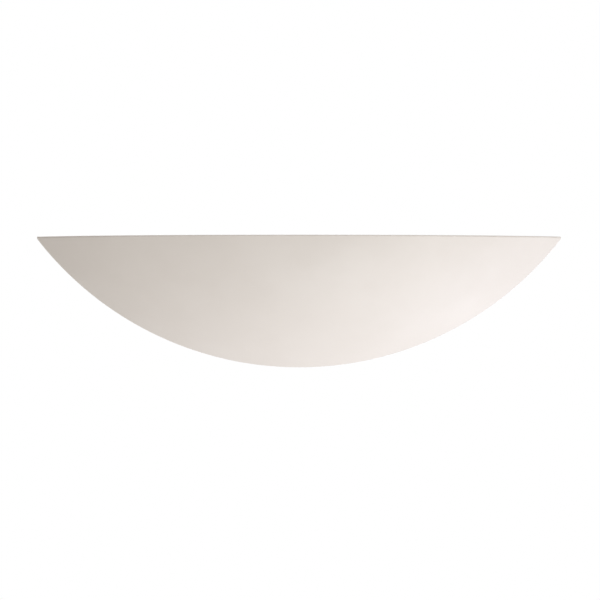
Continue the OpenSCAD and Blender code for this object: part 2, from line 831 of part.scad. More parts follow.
module neutral_lead() {
    color("steelblue") lead([
        [way(0), -clamp_depth, lead_start],
        [way(0), -clamp_depth, lead_start + 4],
        [way(0) - 7, -clamp_depth - 1, lead_run],
        [0, -clamp_depth - 3, lead_run],
        [-bracket_half, -clamp_depth - 2, lead_run],
        [-lead_bore_x + 10, -clamp_depth, base_low],
        [-lead_bore_x, -clamp_depth - 3, lamp_z - 3],
        [-lead_bore_x, -holder_back + 3, lamp_z],
        [-lead_bore_x, -holder_back - lead_plug, lamp_z]
    ]);
}

module earth_lead() {
    along_barrel = [sin(ring_turn), 0, cos(ring_turn)];
    stud = [-earth_x, -barrel_depth, earth_z];
    color("yellowgreen") lead([
        [way(-1), -clamp_depth, lead_start],
        [way(-1), -clamp_depth, lead_start + 2],
        [way(-1) - 8, -clamp_depth - 5, lead_run - 5],
        [0, -clamp_depth - 7, lead_run - 5],
        [-earth_x / 2, -clamp_depth - 3, lead_run - 5],
        stud + (barrel[1] + 2) * along_barrel,
        stud + (barrel[0] + 1) * along_barrel
    ]);
}

// Stripped copper: three in the terminal block, two in the holders
module lead_conductors() {
    reach = lead_start - (-block_z + block_len / 4 - 3);
    color("chocolate") {
        for (i = [-1 : 1])
            translate([way(i), -clamp_depth, lead_start - reach]) cylinder(h = reach, d = core_d);
        both_sides() translate([lead_bore_x, -holder_back - lead_plug, lamp_z]) rotate([90, 0, 0])
            cylinder(h = holder_w / 2 - lead_plug - chamber_d / 2 + 0.3, d = core_d);
    }
}

shade();
on_side(-1) hanger_plate();  // hanger_plate_left
hanger_plate();  // hanger_plate_right
hanger_screws();
hanger_inserts();
wall_plate();
on_side(-1) hang_stud();  // hang_stud_left
hang_stud();  // hang_stud_right
on_side(-1) clamp_washer();  // clamp_washer_left
clamp_washer();  // clamp_washer_right
on_side(-1) thumb_nut();  // thumb_nut_left
thumb_nut();  // thumb_nut_right
cable_grommet();
support_bracket();
support_screws();
lamp_tray();
tray_rivets();
reflector();
reflector_rivets();
on_side(-1) lampholder();  // lampholder_left
lampholder();  // lampholder_right
holder_insulators();
holder_screws();
holder_nuts();
on_side(-1) contact();  // contact_left
contact();  // contact_right
on_side(-1) contact_spring();  // contact_spring_left
contact_spring();  // contact_spring_right
lamp_envelope();
on_side(-1) lamp_base();  // lamp_base_left
lamp_base();  // lamp_base_right
lamp_end_contacts();
lamp_lead_wires();
lamp_filament();
filament_supports();
terminal_block();
terminal_clamps();
terminal_screws();
terminal_mount_screws();
earth_stud();
earth_washer();
earth_ring();
earth_nut();
live_lead();
neutral_lead();
earth_lead();
lead_conductors();
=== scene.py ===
import json
import math

import bmesh
import bpy
import numpy as np
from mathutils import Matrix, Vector, noise


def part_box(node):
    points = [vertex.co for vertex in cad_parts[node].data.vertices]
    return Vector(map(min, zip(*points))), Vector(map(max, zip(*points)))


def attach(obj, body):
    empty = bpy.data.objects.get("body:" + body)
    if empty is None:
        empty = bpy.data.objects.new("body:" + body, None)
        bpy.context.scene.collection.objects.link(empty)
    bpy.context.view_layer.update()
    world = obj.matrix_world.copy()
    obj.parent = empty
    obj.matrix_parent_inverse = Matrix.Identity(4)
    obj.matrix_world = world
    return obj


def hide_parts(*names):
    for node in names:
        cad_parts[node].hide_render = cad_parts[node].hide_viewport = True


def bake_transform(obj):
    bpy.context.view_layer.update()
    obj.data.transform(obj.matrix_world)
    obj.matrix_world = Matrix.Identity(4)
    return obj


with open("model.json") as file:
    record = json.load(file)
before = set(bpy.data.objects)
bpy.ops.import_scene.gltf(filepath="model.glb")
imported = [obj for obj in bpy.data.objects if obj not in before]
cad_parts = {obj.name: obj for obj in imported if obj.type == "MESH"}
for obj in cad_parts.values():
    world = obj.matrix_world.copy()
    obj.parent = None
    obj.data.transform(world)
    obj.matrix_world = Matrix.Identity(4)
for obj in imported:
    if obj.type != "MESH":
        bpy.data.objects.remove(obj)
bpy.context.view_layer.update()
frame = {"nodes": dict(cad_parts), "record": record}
mm = 0.001
print("frame loaded:", len(frame["nodes"]), "nodes")

cameraLook = {
    "distance": 3.6,       # from the wall's face
    "height": -0.0225,     # level, a little below the rim
    "side": 0.001,
    "focalLength": 226.2,
    "sensorWidth": 36.0,
}


def makeCamera(look):
    data = bpy.data.cameras.new("photoCamera")
    data.sensor_fit = "HORIZONTAL"
    data.sensor_width = look["sensorWidth"]
    data.lens = look["focalLength"]
    camera = bpy.data.objects.new("photoCamera", data)
    camera.location = (look["side"], -look["distance"], look["height"])
    camera.rotation_euler = (math.radians(90), 0, 0)
    bpy.context.scene.collection.objects.link(camera)
    bpy.context.scene.camera = camera


makeCamera(cameraLook)
bpy.context.scene.view_settings.view_transform = "Standard"
print("camera made")


def setSockets(tree, node, sockets):
    for name, value in sockets.items():
        socket = node.inputs[name]
        if isinstance(value, Wire):
            tree.links.new(value.socket, socket)
        else:
            socket.default_value = (*value, 1.0) if socket.type == "RGBA" else value


class Wire:  # one output socket of a node tree, so that values can be summed like numbers
    def __init__(self, tree, socket=None):
        self.tree = tree
        self.socket = socket

    def add(self, kind, settings=None, sockets=None, out=0):  # any node: type, settings, sockets
        node = self.tree.nodes.new("ShaderNode" + kind)
        for name, value in (settings or {}).items():
            setattr(node, name, value)
        setSockets(self.tree, node, sockets or {})
        return Wire(self.tree, node.outputs[out] if node.outputs else None)

    def other(self, name):  # another output of the same node
        return Wire(self.tree, self.socket.node.outputs[name])

    def maths(self, operation, first, second=0.0):
        return self.add("Math", {"operation": operation}, {0: first, 1: second})

    def __add__(self, other):
        return self.maths("ADD", self, other)

    def __radd__(self, other):
        return self.maths("ADD", other, self)

    def __sub__(self, other):
        return self.maths("SUBTRACT", self, other)

    def __rsub__(self, other):
        return self.maths("SUBTRACT", other, self)

    def __mul__(self, other):
        return self.maths("MULTIPLY", self, other)

    def __rmul__(self, other):
        return self.maths("MULTIPLY", other, self)


def blendColours(wire, mask, first, second):  # through the Mix node's sockets for colours
    return wire.add("Mix", {"data_type": "RGBA"}, {0: mask, 6: first, 7: second}, out=2)


def startFinish(name):  # with the piece's own coordinates, in metres, which move with it
    finish = bpy.data.materials.new(name)
    finish.use_nodes = True
    wire = Wire(finish.node_tree)
    return finish, wire, wire.add("TexCoord", out="Object")


def feedShader(finish, sockets):
    tree = finish.node_tree
    setSockets(tree, tree.nodes["Principled BSDF"], sockets)
    return finish


def stretched(wire, place, scale):
    return wire.add("Mapping", None, {"Vector": place, "Scale": scale})


def grain(wire, place, size, detail=3.0, roughness=0.5):  # noise from 0 to 1, about this coarse
    return wire.add("TexNoise", None, {"Vector": place, "Scale": 1 / size, "Detail": detail,
                                       "Roughness": roughness})


def between(wire, value, low, high):  # 0 below low and 1 above high
    return wire.add("MapRange", {"interpolation_type": "SMOOTHSTEP"},
                    {"Value": value, "From Min": low, "From Max": high})


def bumped(wire, height, distance, strength=1.0, normal=None):
    sockets = {"Height": height, "Distance": distance, "Strength": strength}
    if normal:
        sockets["Normal"] = normal
    return wire.add("Bump", None, sockets)


plasterLook = {
    "skin": (0.838, 0.782, 0.728),       # warm white satin emulsion
    "skinShadow": (0.80, 0.742, 0.686),
    "inside": (0.855, 0.835, 0.80),      # the raw cast, painted once
    "insideStain": (0.74, 0.70, 0.64),
    # painted shade inside the pores
    "paintedPoreShade": (0.42, 0.39, 0.34),
    "skinRoughness": 0.46,
    "insideRoughness": 0.86,
    "mottle": 60 * mm,                   # sizes of its patches, strokes and grain
    "brush": 3.5 * mm,
    "fine": 0.6 * mm,
    "poreSpacing": 2.6 * mm,
    "depth": 0.6 * mm,                   # of a full bump
}


def plasterFinish(look):
    finish, wire, place = startFinish("satin plaster")
    inside = wire.add("Attribute", {"attribute_name": "inside"}, out="Fac")
    cloud = between(wire, grain(wire, place, look["mottle"], 4, 0.55), 0.3, 0.7)
    skin = blendColours(wire, cloud * 0.55, look["skin"], look["skinShadow"])
    stain = between(wire, grain(wire, place, look["mottle"] * 0.4, 6, 0.6), 0.45, 0.8)
    cast = blendColours(wire, stain * 0.6, look["inside"], look["insideStain"])
    cells = wire.add("TexVoronoi", None, {"Vector": place, "Scale": 1 / look["poreSpacing"]})
    chance = wire.add("SeparateColor", None, {"Color": cells.other("Color")})
    # round pores in the inside: the bump sinks them, and painted shade darkens their colour
    pores = (1 - between(wire, cells, 0.04, 0.11)) * between(wire, chance, 0.35, 0.7) * inside
    brushed = grain(wire, stretched(wire, place, (0.25, 1, 1)), look["brush"], 4, 0.6)
    fine = grain(wire, place, look["fine"], 2)
    roll = grain(wire, place, look["brush"] * 4, 2)
    height = (fine * 0.05 + roll * 0.10) * (1 - inside) + brushed * inside * 0.3 - pores * 0.6
    rougher = look["insideRoughness"] - look["skinRoughness"]
    whole = blendColours(wire, inside, skin, cast)
    return feedShader(finish, {
        # the pores get painted shade
        "Base Color": blendColours(wire, pores * 0.6, whole, look["paintedPoreShade"]),
        "Roughness": look["skinRoughness"] + cloud * 0.06 + inside * rougher,
        "Normal": bumped(wire, height, look["depth"]),
        "Specular IOR Level": 0.42,
    })


def metalFinish(name, look):  # dull is a second colour, and spread is how far the roughness varies
    finish, wire, place = startFinish(name)
    lines = grain(wire, stretched(wire, place, look.get("stretch", (1, 1, 1))), look["size"], 4, 0.6)
    cloud = between(wire, grain(wire, place, look["size"] * 9, 3), 0.35, 0.7)
    return feedShader(finish, {
        "Base Color": blendColours(wire, cloud, look["colour"], look["dull"]),
        "Metallic": 1.0,
        "Roughness": look["roughness"] + (lines - 0.5) * look["spread"] + cloud * look["spread"] * 0.5,
        "Normal": bumped(wire, lines, look["bump"]),
    })


zincLook = {"colour": (0.56, 0.58, 0.60), "dull": (0.47, 0.48, 0.48), "roughness": 0.34, "spread": 0.2,
            "size": 1.2 * mm, "bump": 0.01 * mm}
screwLook = {"colour": (0.52, 0.52, 0.53), "dull": (0.42, 0.42, 0.43), "roughness": 0.27, "spread": 0.18,
             "size": 0.35 * mm, "bump": 0.008 * mm}
brassLook = {"colour": (0.72, 0.52, 0.24), "dull": (0.57, 0.39, 0.17), "roughness": 0.26, "spread": 0.2,
             "size": 0.4 * mm, "bump": 0.008 * mm}
rivetLook = {"colour": (0.66, 0.66, 0.67), "dull": (0.55, 0.55, 0.56), "roughness": 0.36, "spread": 0.2,
             "size": 0.4 * mm, "bump": 0.01 * mm}
drawnMetal = {"spread": 0.15, "size": 0.3 * mm, "bump": 0.004 * mm}
contactLook = {**drawnMetal, "colour": (0.68, 0.65, 0.60), "dull": (0.55, 0.52, 0.47), "roughness": 0.2}
springLook = {**drawnMetal, "colour": (0.40, 0.40, 0.41), "dull": (0.30, 0.29, 0.28), "roughness": 0.26}
tungstenLook = {**drawnMetal, "colour": (0.25, 0.25, 0.26), "dull": (0.18, 0.18, 0.19), "roughness": 0.42,
                "spread": 0.2}
copperLook = {"colour": (0.72, 0.36, 0.19), "dull": (0.52, 0.24, 0.13), "roughness": 0.3, "spread": 0.2,
              "size": 0.3 * mm, "stretch": (1, 1, 0.2), "bump": 0.01 * mm}
reflectorLook = {"colour": (0.80, 0.81, 0.82), "dull": (0.74, 0.74, 0.74), "roughness": 0.13, "spread": 0.1,
                 "size": 0.8 * mm, "stretch": (0.06, 1, 1), "bump": 0.006 * mm, "dimple": 3.2 * mm,
                 "dimpleDepth": 0.5 * mm, "cloud": 18 * mm, "scorch": (0.60, 0.52, 0.40)}


def reflectorFinish(look):  # stucco-dimpled bright aluminium, a little scorched under the lamp
    finish, wire, place = startFinish("dimpled reflector aluminium")
    lines = grain(wire, stretched(wire, place, look["stretch"]), look["size"], 3)
    dimples = wire.add("TexVoronoi", {"feature": "SMOOTH_F1"},
                       {"Vector": place, "Scale": 1 / look["dimple"], "Smoothness": 0.6})
    cloud = between(wire, grain(wire, place, look["cloud"], 3), 0.4, 0.75)
    clean = blendColours(wire, cloud, look["colour"], look["dull"])
    stucco = bumped(wire, dimples, look["dimpleDepth"], 0.4)
    return feedShader(finish, {
        "Base Color": blendColours(wire, cloud * 0.25, clean, look["scorch"]),
        "Metallic": 1.0,
        "Roughness": look["roughness"] + lines * look["spread"],
        "Normal": bumped(wire, lines, look["bump"], 1.0, stucco),
    })


coatLook = {"colour": (0.80, 0.80, 0.775), "shade": (0.74, 0.735, 0.70), "roughness": 0.38,
            "peel": 0.8 * mm, "peelDepth": 0.05 * mm, "dust": 22 * mm}


def coatedFinish(look):  # white powder coat with orange peel
    finish, wire, place = startFinish("white powder coat")
    peel = grain(wire, place, look["peel"], 2, 0.4)
    dust = between(wire, grain(wire, place, look["dust"], 5, 0.6), 0.45, 0.75)
    return feedShader(finish, {
        "Base Color": blendColours(wire, dust * 0.5, look["colour"], look["shade"]),
        "Roughness": look["roughness"] + dust * 0.16 + peel * 0.05,
        "Normal": bumped(wire, peel, look["peelDepth"]),
    })


rubberLook = {"colour": (0.028, 0.027, 0.026), "bloom": (0.10, 0.098, 0.094), "roughness": 0.62,
              "patch": 3 * mm, "size": 0.35 * mm, "bump": 0.03 * mm}


def rubberFinish(look):
    finish, wire, place = startFinish("grommet rubber")
    bloom = between(wire, grain(wire, place, look["patch"], 5, 0.65), 0.5, 0.85)
    return feedShader(finish, {
        "Base Color": blendColours(wire, bloom * 0.6, look["colour"], look["bloom"]),
        "Roughness": look["roughness"] + bloom * 0.2,
        "Normal": bumped(wire, grain(wire, place, look["size"], 2), look["bump"]),
    })


ceramicGrain = {"speckSize": 0.5 * mm, "cloudSize": 7 * mm, "size": 0.25 * mm, "bump": 0.02 * mm}
steatiteLook = {**ceramicGrain, "colour": (0.79, 0.745, 0.64), "dull": (0.70, 0.65, 0.545),
                "speck": (0.45, 0.38, 0.28), "roughness": 0.52}
lampCeramicLook = {**ceramicGrain, "colour": (0.83, 0.81, 0.755), "dull": (0.76, 0.73, 0.67),
                   "speck": (0.60, 0.56, 0.50), "roughness": 0.6}


def ceramicFinish(name, look):  # unglazed: fine speckle and a dry surface
    finish, wire, place = startFinish(name)
    speck = between(wire, grain(wire, place, look["speckSize"], 1), 0.70, 0.76)
    cloud = between(wire, grain(wire, place, look["cloudSize"], 4), 0.35, 0.75)
    body = blendColours(wire, cloud * 0.6, look["colour"], look["dull"])
    return feedShader(finish, {
        "Base Color": blendColours(wire, speck * 0.5, body, look["speck"]),
        "Roughness": look["roughness"] + cloud * 0.12,
        "Normal": bumped(wire, grain(wire, place, look["size"], 3), look["bump"]),
    })


micaLook = {"colour": (0.40, 0.29, 0.165), "flake": (0.62, 0.50, 0.33), "flakeSize": 1.6 * mm,
            "roughness": 0.3, "bump": 0.02 * mm}


def micaFinish(look):
    finish, wire, place = startFinish("mica sheet")
    flakes = wire.add("TexVoronoi", None, {"Vector": place, "Scale": 1 / look["flakeSize"]})
    tone = wire.add("SeparateColor", None, {"Color": flakes.other("Color")})
    return feedShader(finish, {
        "Base Color": blendColours(wire, tone * 0.8, look["colour"], look["flake"]),
        "Roughness": look["roughness"] + tone * 0.25,
        "Normal": bumped(wire, tone, look["bump"]),
        "Coat Weight": 0.3,
    })


quartzLook = {"colour": (0.97, 0.98, 0.985), "roughness": 0.015, "ior": 1.46, "ripple": 3 * mm,
              "stretch": (0.2, 1, 1), "bump": 0.02 * mm}


def quartzFinish(look):
    finish, wire, place = startFinish("fused quartz")
    ripple = grain(wire, stretched(wire, place, look["stretch"]), look["ripple"], 2)
    return feedShader(finish, {
        "Base Color": look["colour"],
        "Roughness": look["roughness"],
        "IOR": look["ior"],
        "Transmission Weight": 1.0,
        "Normal": bumped(wire, ripple, look["bump"]),
    })


def plasticFinish(name, look):
    finish, wire, place = startFinish(name)
    cloud = between(wire, grain(wire, place, look["size"] * 12, 3), 0.35, 0.75)
    return feedShader(finish, {
        "Base Color": blendColours(wire, cloud, look["colour"], look["dull"]),
        "Roughness": look["roughness"] + cloud * 0.1,
        "Normal": bumped(wire, grain(wire, place, look["size"], 2), look["bump"]),
    })


terminalLook = {"colour": (0.78, 0.755, 0.66), "dull": (0.74, 0.705, 0.60), "roughness": 0.36,
                "size": 0.5 * mm, "bump": 0.01 * mm}
sleeve = {"roughness": 0.42, "size": 0.5 * mm, "bump": 0.02 * mm}
brownLook = {**sleeve, "colour": (0.115, 0.052, 0.026), "dull": (0.085, 0.038, 0.020)}
blueLook = {**sleeve, "colour": (0.035, 0.115, 0.33), "dull": (0.026, 0.085, 0.26)}
greenLook = {**sleeve, "colour": (0.06, 0.27, 0.055), "dull": (0.045, 0.21, 0.042)}
yellowLook = {**sleeve, "colour": (0.78, 0.56, 0.04), "dull": (0.68, 0.47, 0.03)}

finishes = {
    "white_plaster": plasterFinish(plasterLook),
    "zinc_plated_steel": metalFinish("zinc plate", zincLook),
    "screw_steel": metalFinish("bright screw steel", screwLook),
    "brass": metalFinish("turned brass", brassLook),
    "white_coated_steel": coatedFinish(coatLook),
    "grommet_rubber": rubberFinish(rubberLook),
    "rivet_aluminium": metalFinish("rivet aluminium", rivetLook),
    "reflector_aluminium": reflectorFinish(reflectorLook),
    "steatite": ceramicFinish("steatite", steatiteLook),
    "mica": micaFinish(micaLook),
    "contact_metal": metalFinish("nickel contact", contactLook),
    "spring_steel": metalFinish("spring steel", springLook),
    "quartz": quartzFinish(quartzLook),
    "lamp_ceramic": ceramicFinish("lamp ceramic", lampCeramicLook),
    "filament_metal": metalFinish("tungsten", tungstenLook),
    "terminal_plastic": plasticFinish("terminal nylon", terminalLook),
    "brown_sleeve": plasticFinish("brown silicone", brownLook),
    "blue_sleeve": plasticFinish("blue silicone", blueLook),
    "green_yellow_sleeve": plasticFinish("green silicone", greenLook),
    "copper": metalFinish("bare copper", copperLook),
}
yellowStripe = plasticFinish("yellow silicone", yellowLook)
print("finishes made:", len(finishes) + 1)

slotOf = {part["node"]: part["material_slot"] for part in frame["record"]["subparts"]}
bodyOf = {node: body for body, nodes in frame["record"]["behaviour"]["bodies"].items() for node in nodes}


def addPiece(name, mesh, node):  # stands for a node, in the node's own finish
    piece = bpy.data.objects.new(name, mesh)
    bpy.context.scene.collection.objects.link(piece)
    mesh.materials.append(finishes[slotOf[node]])
    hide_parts(node)
    return piece


def addRigid(name, mesh, node, sharp=None):  # rides whole on its node's body; sharp is in degrees
    piece = addPiece(name, mesh, node)
    mesh.shade_smooth()
    if sharp:
        mesh.set_sharp_from_angle(angle=math.radians(sharp))
    even = piece.modifiers.new("evenNormals", "WEIGHTED_NORMAL")  # flat faces stay flat beside round ones
    even.weight = 60
    even.keep_sharp = True
    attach(piece, bodyOf[node])
    return piece


def limited(value):  # kept from 0 to 1
    return min(1, max(0, value))


def eased(value):  # from 0 to 1 with a soft start and a soft end
    share = limited(value)
    return share * share * (3 - 2 * share)


def allRound(sides):  # the angles of a circle's points
    return np.linspace(0, 2 * math.pi, sides, endpoint=False)


def loft(loops, closed=False):  # skin over loops of equally many points; the ends are capped unless closed
    count, rows = len(loops[0]), len(loops)
    vertices = [tuple(point) for loop in loops for point in loop]
    faces = []
    for i in range(rows if closed else rows - 1):
        here, ahead = i * count, (i + 1) % rows * count
        for j in range(count):
            k = (j + 1) % count
            faces.append((here + j, here + k, ahead + k, ahead + j))
    if not closed:
        faces.append(tuple(range(count))[::-1])
        faces.append(tuple(range((rows - 1) * count, rows * count)))
    return vertices, faces


def skinMesh(name, skins, hollows=()):  # skins face outwards, and hollows face into the space they enclose
    work = bmesh.new()
    for i, (vertices, faces) in enumerate([*skins, *hollows]):
        points = [work.verts.new(v) for v in vertices]
        fresh = [work.faces.new([points[j] for j in face]) for face in faces]
        bmesh.ops.recalc_face_normals(work, faces=fresh)
        if i >= len(skins):
            bmesh.ops.reverse_faces(work, faces=fresh)
    mesh = bpy.data.meshes.new(name)
    work.to_mesh(mesh)
    work.free()
    return mesh


def sweep(path, radius, sides, spin=0.0):  # a round wire along a path; spin is in radians per metre
    path = np.array(path, float)
    along = np.gradient(path, axis=0)
    along /= np.linalg.norm(along, axis=1)[:, None]
    side = np.cross(along[0], (0.3, 0.5, 0.8))    # any direction that isn't along the wire
    loops, travelled = [], 0.0
    for i, (point, tangent) in enumerate(zip(path, along)):
        side = side - tangent * (side @ tangent)
        side /= np.linalg.norm(side)
        other = np.cross(tangent, side)
        travelled += np.linalg.norm(point - path[max(i - 1, 0)])
        angles = allRound(sides) + travelled * spin
        loops.append(point + radius * (np.outer(np.cos(angles), side) + np.outer(np.sin(angles), other)))
    return loft(loops)


def turned(rows, sides, x, z, closed=False):  # about a line out of the wall; rows are depth and radius
    across, upwards = np.cos(allRound(sides)), np.sin(allRound(sides))
    loops = [np.stack([x + radius * across, np.full(sides, -depth), z + radius * upwards], axis=1)
             for depth, radius in rows]
    return loft(loops, closed)


shadeLow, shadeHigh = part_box("shade")
plateLow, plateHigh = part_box("hanger_plate_right")
shadeShape = {
    "bulge": 245 * mm,          # radius of the section through the middle
    "wall": 9 * mm,
    "blockStart": 153 * mm,     # where the solid block behind each tip begins
    "blockDepth": 26 * mm,
    "pocketGap": 1 * mm,        # round each hanger plate
    "rimOuterArris": 1.0 * mm,
    "rimInnerArris": 1.8 * mm,
    "wallArris": 0.3 * mm,
    "blockArris": 1.6 * mm,
    "tipHeight": 2.5 * mm,      # of the blunt end at each tip
    "tipArris": 0.35 * mm,
    "insideFade": 2.5 * mm,     # from the skin's finish to the inside's
    "handwork": 0.35 * mm,      # unevenness of the inside: its height, its two wavelengths,
    "longWave": 28 * mm,        # and how far from the wall it takes to rise
    "shortWave": 9 * mm,
    "handworkFade": 8 * mm,
    "outerPoints": 46,          # of one section: its outside, the hollow's front,
    "hollowPoints": 34,         # the block or the hollow's back, and a rounded corner
    "blockPoints": 62,
    "cornerPoints": 6,
}
nudge = 0.001                   # a small turn, which finds the way that a skin runs


def at(y, z):  # a point or a direction in a section
    return np.array([y, z], float)


up, down, toWall, toRoom = at(0, 1), at(0, -1), at(1, 0), at(-1, 0)


def unit(v):
    return v / np.linalg.norm(v)


class ShadeForm:  # the dish's sections at any distance from the middle
    def __init__(self, shape):
        half = shadeHigh.x
        self.shape = shape
        self.rim = shadeHigh.z
        drop = shadeHigh.z - shadeLow.z
        edgeDrop = drop - shape["tipHeight"]
        self.wallR = (half ** 2 + edgeDrop ** 2) / (2 * edgeDrop)
        self.rimR = self.wallR - drop
        self.axisZ = self.rim + self.rimR
        chord = Vector((self.wallR - self.rimR, shadeLow.y))
        across = Vector((chord.y, -chord.x)).normalized()
        middle = Vector(((self.wallR + self.rimR) / 2, -shadeLow.y / 2))
        self.centre = middle + across * math.sqrt(shape["bulge"] ** 2 - (chord.length / 2) ** 2)
        self.outer = shape["bulge"]
        self.inner = shape["bulge"] - shape["wall"]
        self.blockAngle = self.angleAtDepth(self.inner, shape["blockDepth"])

    def angleAtDepth(self, radius, depth):
        return math.acos((depth - self.centre.y) / radius)

    def angleAtRim(self, radius, x):
        return math.asin((math.hypot(x, self.rimR) - self.centre.x) / radius)

    def point(self, radius, angle, x):  # on a skin
        r = self.centre.x + radius * math.sin(angle)
        depth = radius * math.cos(angle) + self.centre.y
        return at(-depth, self.axisZ - math.sqrt(max(r * r - x * x, 0)))

    def heading(self, radius, angle, turn, x):  # which way a skin leaves a point
        return self.point(radius, angle + turn, x) - self.point(radius, angle, x)

    def along(self, radius, x, start, end, count):  # points from one angle to another, ends left out
        step = (end - start) / (count + 1)
        return [self.point(radius, start + step * (i + 1), x) for i in range(count)]


def roundCorner(corner, back, ahead, radius, count):  # an arc in place of a corner, and how far it reaches
    back, ahead = unit(back), unit(ahead)
    half = math.acos(max(-1, min(1, float(back @ ahead)))) / 2
    reach = radius / math.tan(half)
    centre = corner + unit(back + ahead) * radius / math.sin(half)
    first, last = corner + back * reach - centre, corner + ahead * reach - centre
    turn = math.acos(max(-1, min(1, float(first @ last) / radius ** 2)))
    if turn < 1e-4:
        return [corner + back * reach] * count, reach
    arc = [centre + (first * math.sin(turn * (1 - t)) + last * math.sin(turn * t)) / math.sin(turn)
           for t in np.linspace(0, 1, count)]
    return arc, reach


def pointsBetween(a, b, count):  # inside a straight line
    return [a + (b - a) * (i + 1) / (count + 1) for i in range(count)]


def creaseDepth(shape, depth):  # on the flat top beyond the hollow, where no real edge is left
    share = 0.42 + 0.3 * limited((depth - 6 * mm) / (30 * mm))
    return min(shape["blockDepth"], share * depth)


def shadeSection(form, x, hasBlock, inset):  # one closed loop: outside, back, block or inside, and rim
    shape, corner = form.shape, form.shape["cornerPoints"]
    outTop = form.angleAtRim(form.outer, x)
    outEnd = form.angleAtDepth(form.outer, 0)
    inTop = form.angleAtRim(form.inner, x)
    inEnd = form.angleAtDepth(form.inner, 0)
    hollow = inTop < form.blockAngle - nudge
    rimOuter = form.point(form.outer, outTop, x)
    wallOuter = form.point(form.outer, outEnd, x)
    height, depth = form.rim - wallOuter[1], -rimOuter[0]
    limit = 0.22 * min(height, depth)         # arrises shrink towards the tip

    loop, reach = roundCorner(rimOuter, toWall, form.heading(form.outer, outTop, nudge, x),
                              min(shape["rimOuterArris"], limit), corner)
    wallArc, wallReach = roundCorner(wallOuter, form.heading(form.outer, outEnd, -nudge, x), up,
                                     min(shape["wallArris"], limit), corner)
    loop += form.along(form.outer, x, outTop + reach / form.outer, outEnd - wallReach / form.outer,
                       shape["outerPoints"])
    loop += wallArc

    cavity = form.point(form.inner, inEnd, x)
    if hasBlock:
        land = at(0, wallOuter[1] + min(cavity[1] - wallOuter[1], 0.35 * height))
        loop += pointsBetween(loop[-1], land, 3)
        loop += blockOutline(form, x, land, hollow, inset)
    else:
        arc, reach = roundCorner(cavity, down, form.heading(form.inner, inEnd, -nudge, x),
                                 shape["rimInnerArris"], corner)
        loop += pointsBetween(loop[-1], arc[0], 3)
        loop += arc
        loop += form.along(form.inner, x, inEnd - reach / form.inner, form.blockAngle,
                           shape["blockPoints"] - corner)
    if hollow:
        rimInner = form.point(form.inner, inTop, x)
        room = 0.3 * np.linalg.norm(rimInner - form.point(form.inner, form.blockAngle, x))
        arc, reach = roundCorner(rimInner, form.heading(form.inner, inTop, nudge, x), toRoom,
                                 min(shape["rimInnerArris"], room), corner)
        loop += form.along(form.inner, x, form.blockAngle, inTop + reach / form.inner,
                           shape["hollowPoints"])
        loop += arc
    else:
        crease = at(-creaseDepth(shape, depth), form.rim)
        loop += [crease] * (shape["hollowPoints"] + corner)
    return loop + pointsBetween(loop[-1], loop[0], 3)


def blockOutline(form, x, land, hollow, inset):
    # up the block's back with the hanger's pocket in it, over its top and down its front
    shape, corner = form.shape, form.shape["cornerPoints"]
    gap = shape["pocketGap"]
    pocketY = plateLow.y if x <= plateHigh.x + gap else 0
    backTop = at(0, form.rim)
    foot = form.point(form.inner, form.blockAngle, x) if hollow else backTop
    depth = -form.point(form.outer, form.angleAtRim(form.outer, x), x)[0]
    frontY = -shape["blockDepth"] if hollow else -creaseDepth(shape, depth)
    frontTop = at(frontY, form.rim)
    radius = min(shape["blockArris"], 0.22 * min(form.rim - land[1], depth))
    topArc, reach = roundCorner(backTop, down, toRoom, radius, corner)
    lowEdge = min(plateLow.z - gap, form.rim - reach - 2 * gap)
    lowEdge = max(lowEdge, land[1] + 0.02 * (form.rim - land[1]))
    highEdge = min(max(plateHigh.z + gap, lowEdge + gap / 4), topArc[0][1] - gap / 8)
    path = pointsBetween(land, at(0, lowEdge), 6)
    path += [at(0, lowEdge), at(pocketY, lowEdge)]
    path += pointsBetween(path[-1], at(pocketY, highEdge), 6)
    path += [at(pocketY, highEdge), at(0, highEdge)]
    path += pointsBetween(path[-1], topArc[0], 2)
    path += topArc
    if hollow:
        arris = min(shape["blockArris"], 0.3 * (form.rim - foot[1]))
        frontArc, reach = roundCorner(frontTop, toWall, down, arris, corner)
        path += pointsBetween(path[-1], frontArc[0], 10)
        path += frontArc
        path += pointsBetween(path[-1], foot, shape["blockPoints"] - len(path) - 1)
        path += [foot]
    else:
        path += pointsBetween(path[-1], frontTop, shape["blockPoints"] - len(path) - 1)
        path += [frontTop]
    return insetOutline(path, inset, land, foot, frontTop) if inset > 0 else path


def insetOutline(path, inset, land, foot, frontTop):  # drawn in, for the rounded arris of the block's end
    half = len(path) // 2
    moved = []
    for i, (y, z) in enumerate(path):
        start = foot if i > half else land
        edge = inset * limited((z - start[1]) / (3 * mm))
        near = y if i < half else max(y, frontTop[0] + edge)
        moved.append(at(min(near, -edge), min(z, frontTop[1] - edge)))
    return moved


def sectionPlaces(form):  # distance from the middle, whether the block is cut, and how far it is drawn in
    start, arris = form.shape["blockStart"], form.shape["blockArris"]
    deep = form.centre.x + form.inner * math.sin(form.blockAngle)
    pinch = math.sqrt(deep ** 2 - form.rimR ** 2)     # where the hollow before the block runs out
    pocketEnd = plateHigh.x + form.shape["pocketGap"]
    tip = shadeHigh.x - form.shape["tipArris"]
    places = [(start * t, False, 0) for t in np.linspace(0, 1, 44)]
    places += [(start + arris * (1 - math.cos(a)), True, arris * (1 - math.sin(a)))
               for a in np.radians([0, 22.5, 45, 67.5, 90])]
    places += [(start + arris + (pocketEnd - start - arris) * t, True, 0)
               for t in np.linspace(0, 1, 22)[1:]]
    places += [(pocketEnd + 1e-7, True, 0)]   # just past the pocket's end
    for first, last, shares in ((pocketEnd, pinch, np.linspace(0, 0.985, 12)[1:]),
                                (pinch, tip, np.linspace(0, 1, 26))):
        places += [(first + (last - first) * math.sin(math.radians(90 * t)), True, 0) for t in shares]
    return places


